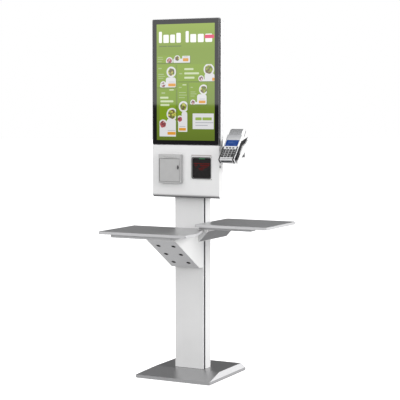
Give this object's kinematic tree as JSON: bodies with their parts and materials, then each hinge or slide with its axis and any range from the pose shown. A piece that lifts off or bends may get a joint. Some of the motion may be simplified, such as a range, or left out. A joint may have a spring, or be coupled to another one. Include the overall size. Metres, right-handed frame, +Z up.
{
  "type": "self checkout kiosk",
  "caption": "Free-standing self checkout kiosk: portrait touch display on a column, receipt printer, code scanner, swivelling payment terminal and two bagging shelves on a ramped base",
  "frame": {"origin": "centre of the square base plate's underside, on the floor, 25 mm behind the column's front face", "axes": "+Z up, +X to the right as the customer sees the kiosk, +Y away from the customer; the screen faces -Y"},
  "size_m": [0.814, 0.656, 1.857],
  "materials": {
    "bare_aluminium": "brushed",
    "bezel_aluminium": "dark anodised",
    "black_case": "fine grained black plastic",
    "black_steel": "matte black powder coat",
    "board": "grey laminated board",
    "dark_coat": "satin dark grey powder coat",
    "display_window": "polished, over a blue lit panel",
    "grey_coat": "satin grey metallic powder coat",
    "latch_plastic": "satin dark grey plastic",
    "lock_chrome": "polished",
    "lock_steel": "brushed",
    "number_key": "matte black rubber",
    "panel_steel": "satin",
    "paper": "smooth thermal paper",
    "pin_steel": "ground",
    "printer_plastic": "fine grained light grey plastic",
    "roller_rubber": "ground rubber",
    "scanner_block": "matte",
    "scanner_glass": "dark red tinted, polished",
    "screen_glass": "black printed border under polished glass",
    "shelf_coat": "satin grey metallic powder coat",
    "soft_key": "matte",
    "stand_coat": "smooth white powder coat",
    "terminal_black": "fine grained black plastic",
    "terminal_silver": "satin silver grey paint",
    "white_coat": "fine textured white powder coat",
    "white_plastic": "satin white plastic",
    "zinc_steel": "bright zinc plate"
  },
  "bodies": {
    "kiosk": {"base_plate": "black_steel", "base_cover": "grey_coat", "column_body": "white_coat", "column_front_cover": "white_coat", "front_bracket": "white_coat", "front_bracket_cover": "grey_coat", "side_bracket": "white_coat", "side_bracket_cover": "dark_coat", "front_shelf_plate": "shelf_coat", "front_shelf_core": "board", "side_shelf_plate": "shelf_coat", "side_shelf_core": "board", "lower_front_tray": "white_coat", "head_rear_shell": "white_coat", "service_box": "white_coat", "mini_computer": "black_case", "power_supply": "bare_aluminium", "display_frame": "bezel_aluminium", "touch_glass": "screen_glass", "lcd_module": "panel_steel", "printer_bezel": "printer_plastic", "printer_mechanism": "black_case", "scanner_bezel": "white_plastic", "scanner_window": "scanner_glass", "scanner_housing": "black_case", "scanner_engine": "scanner_block", "side_lock_barrel": "lock_chrome", "power_inlet": "black_case", "terminal_arm": "white_coat", "frame_bolts": "zinc_steel", "hinge_pins": "pin_steel"},
    "rear_door_body": {"rear_door": "white_coat"},
    "printer_door_body": {"printer_door": "printer_plastic"},
    "latch": {"printer_latch": "latch_plastic"},
    "platen": {"printer_platen": "roller_rubber"},
    "roll": {"paper_roll": "paper"},
    "lock_plug": {"side_lock_plug": "lock_steel"},
    "terminal": {"terminal_stand": "stand_coat", "terminal_cradle": "black_case", "terminal_base_shell": "terminal_black", "terminal_top_shell": "terminal_silver", "terminal_display": "display_window", "terminal_soft_keys": "soft_key", "terminal_cover_pin": "pin_steel"},
    "paper_cover": {"terminal_paper_cover": "terminal_silver"},
    "button_cancel": {"key_cancel": "number_key"},
    "button_0": {"key_0": "number_key"},
    "button_clear": {"key_clear": "number_key"},
    "button_enter": {"key_enter": "number_key"},
    "button_7": {"key_7": "number_key"},
    "button_8": {"key_8": "number_key"},
    "button_9": {"key_9": "number_key"},
    "button_4": {"key_4": "number_key"},
    "button_5": {"key_5": "number_key"},
    "button_6": {"key_6": "number_key"},
    "button_up": {"key_up": "number_key"},
    "button_1": {"key_1": "number_key"},
    "button_2": {"key_2": "number_key"},
    "button_3": {"key_3": "number_key"},
    "button_menu": {"key_menu": "number_key"}
  },
  "joints": [
    {"name": "rear_door_hinge", "type": "hinge", "parent": "kiosk", "child": "rear_door_body", "pos_m": [-0.122, 0.0644, 1.215], "axis": [0, 0, 1], "range_deg": [0, 110]},
    {"name": "printer_door_hinge", "type": "hinge", "parent": "kiosk", "child": "printer_door_body", "pos_m": [-0.138, -0.08565, 1.078], "axis": [0, 0, -1], "range_deg": [0, 95]},
    {"name": "printer_latch_turn", "type": "hinge", "parent": "printer_door_body", "child": "latch", "pos_m": [-0.032, -0.088, 1.094], "axis": [0, -1, 0], "range_deg": [0, 90]},
    {"name": "paper_roll_turn", "type": "hinge", "parent": "kiosk", "child": "roll", "pos_m": [-0.08225, -0.047, 1.052], "axis": [1, 0, 0], "continuous": true},
    {"name": "platen_turn", "type": "hinge", "parent": "kiosk", "child": "platen", "pos_m": [-0.08225, -0.07, 1.126], "axis": [-1, 0, 0], "continuous": true},
    {"name": "side_lock_turn", "type": "hinge", "parent": "kiosk", "child": "lock_plug", "pos_m": [0.19, -0.056, 1.1], "axis": [1, 0, 0], "range_deg": [0, 90]},
    {"name": "terminal_swivel", "type": "hinge", "parent": "kiosk", "child": "terminal", "pos_m": [0.262, -0.03, 1.122], "axis": [0, 0, 1], "range_deg": [-15, 25]},
    {"name": "paper_cover_hinge", "type": "hinge", "parent": "terminal", "child": "paper_cover", "pos_m": [0.262, 0.02005, 1.28418], "axis": [-1, 0, 0], "range_deg": [0, 75]},
    {"name": "press_cancel", "type": "slide", "parent": "terminal", "child": "button_cancel", "axis": [0, 0.7431, -0.6691], "range_m": [0, 0.0015], "stiffness_N_per_m": 400, "springref_m": -0.0005},
    {"name": "press_0", "type": "slide", "parent": "terminal", "child": "button_0", "axis": [0, 0.7431, -0.6691], "range_m": [0, 0.0015], "stiffness_N_per_m": 400, "springref_m": -0.0005},
    {"name": "press_clear", "type": "slide", "parent": "terminal", "child": "button_clear", "axis": [0, 0.7431, -0.6691], "range_m": [0, 0.0015], "stiffness_N_per_m": 400, "springref_m": -0.0005},
    {"name": "press_enter", "type": "slide", "parent": "terminal", "child": "button_enter", "axis": [0, 0.7431, -0.6691], "range_m": [0, 0.0015], "stiffness_N_per_m": 400, "springref_m": -0.0005},
    {"name": "press_7", "type": "slide", "parent": "terminal", "child": "button_7", "axis": [0, 0.7431, -0.6691], "range_m": [0, 0.0015], "stiffness_N_per_m": 400, "springref_m": -0.0005},
    {"name": "press_8", "type": "slide", "parent": "terminal", "child": "button_8", "axis": [0, 0.7431, -0.6691], "range_m": [0, 0.0015], "stiffness_N_per_m": 400, "springref_m": -0.0005},
    {"name": "press_9", "type": "slide", "parent": "terminal", "child": "button_9", "axis": [0, 0.7431, -0.6691], "range_m": [0, 0.0015], "stiffness_N_per_m": 400, "springref_m": -0.0005},
    {"name": "press_4", "type": "slide", "parent": "terminal", "child": "button_4", "axis": [0, 0.7431, -0.6691], "range_m": [0, 0.0015], "stiffness_N_per_m": 400, "springref_m": -0.0005},
    {"name": "press_5", "type": "slide", "parent": "terminal", "child": "button_5", "axis": [0, 0.7431, -0.6691], "range_m": [0, 0.0015], "stiffness_N_per_m": 400, "springref_m": -0.0005},
    {"name": "press_6", "type": "slide", "parent": "terminal", "child": "button_6", "axis": [0, 0.7431, -0.6691], "range_m": [0, 0.0015], "stiffness_N_per_m": 400, "springref_m": -0.0005},
    {"name": "press_up", "type": "slide", "parent": "terminal", "child": "button_up", "axis": [0, 0.7431, -0.6691], "range_m": [0, 0.0015], "stiffness_N_per_m": 400, "springref_m": -0.0005},
    {"name": "press_1", "type": "slide", "parent": "terminal", "child": "button_1", "axis": [0, 0.7431, -0.6691], "range_m": [0, 0.0015], "stiffness_N_per_m": 400, "springref_m": -0.0005},
    {"name": "press_2", "type": "slide", "parent": "terminal", "child": "button_2", "axis": [0, 0.7431, -0.6691], "range_m": [0, 0.0015], "stiffness_N_per_m": 400, "springref_m": -0.0005},
    {"name": "press_3", "type": "slide", "parent": "terminal", "child": "button_3", "axis": [0, 0.7431, -0.6691], "range_m": [0, 0.0015], "stiffness_N_per_m": 400, "springref_m": -0.0005},
    {"name": "press_menu", "type": "slide", "parent": "terminal", "child": "button_menu", "axis": [0, 0.7431, -0.6691], "range_m": [0, 0.0015], "stiffness_N_per_m": 400, "springref_m": -0.0005}
  ],
  "couplings": [
    {"joint": "platen_turn", "follows": "paper_roll_turn", "ratio": 4.6667}
  ]
}
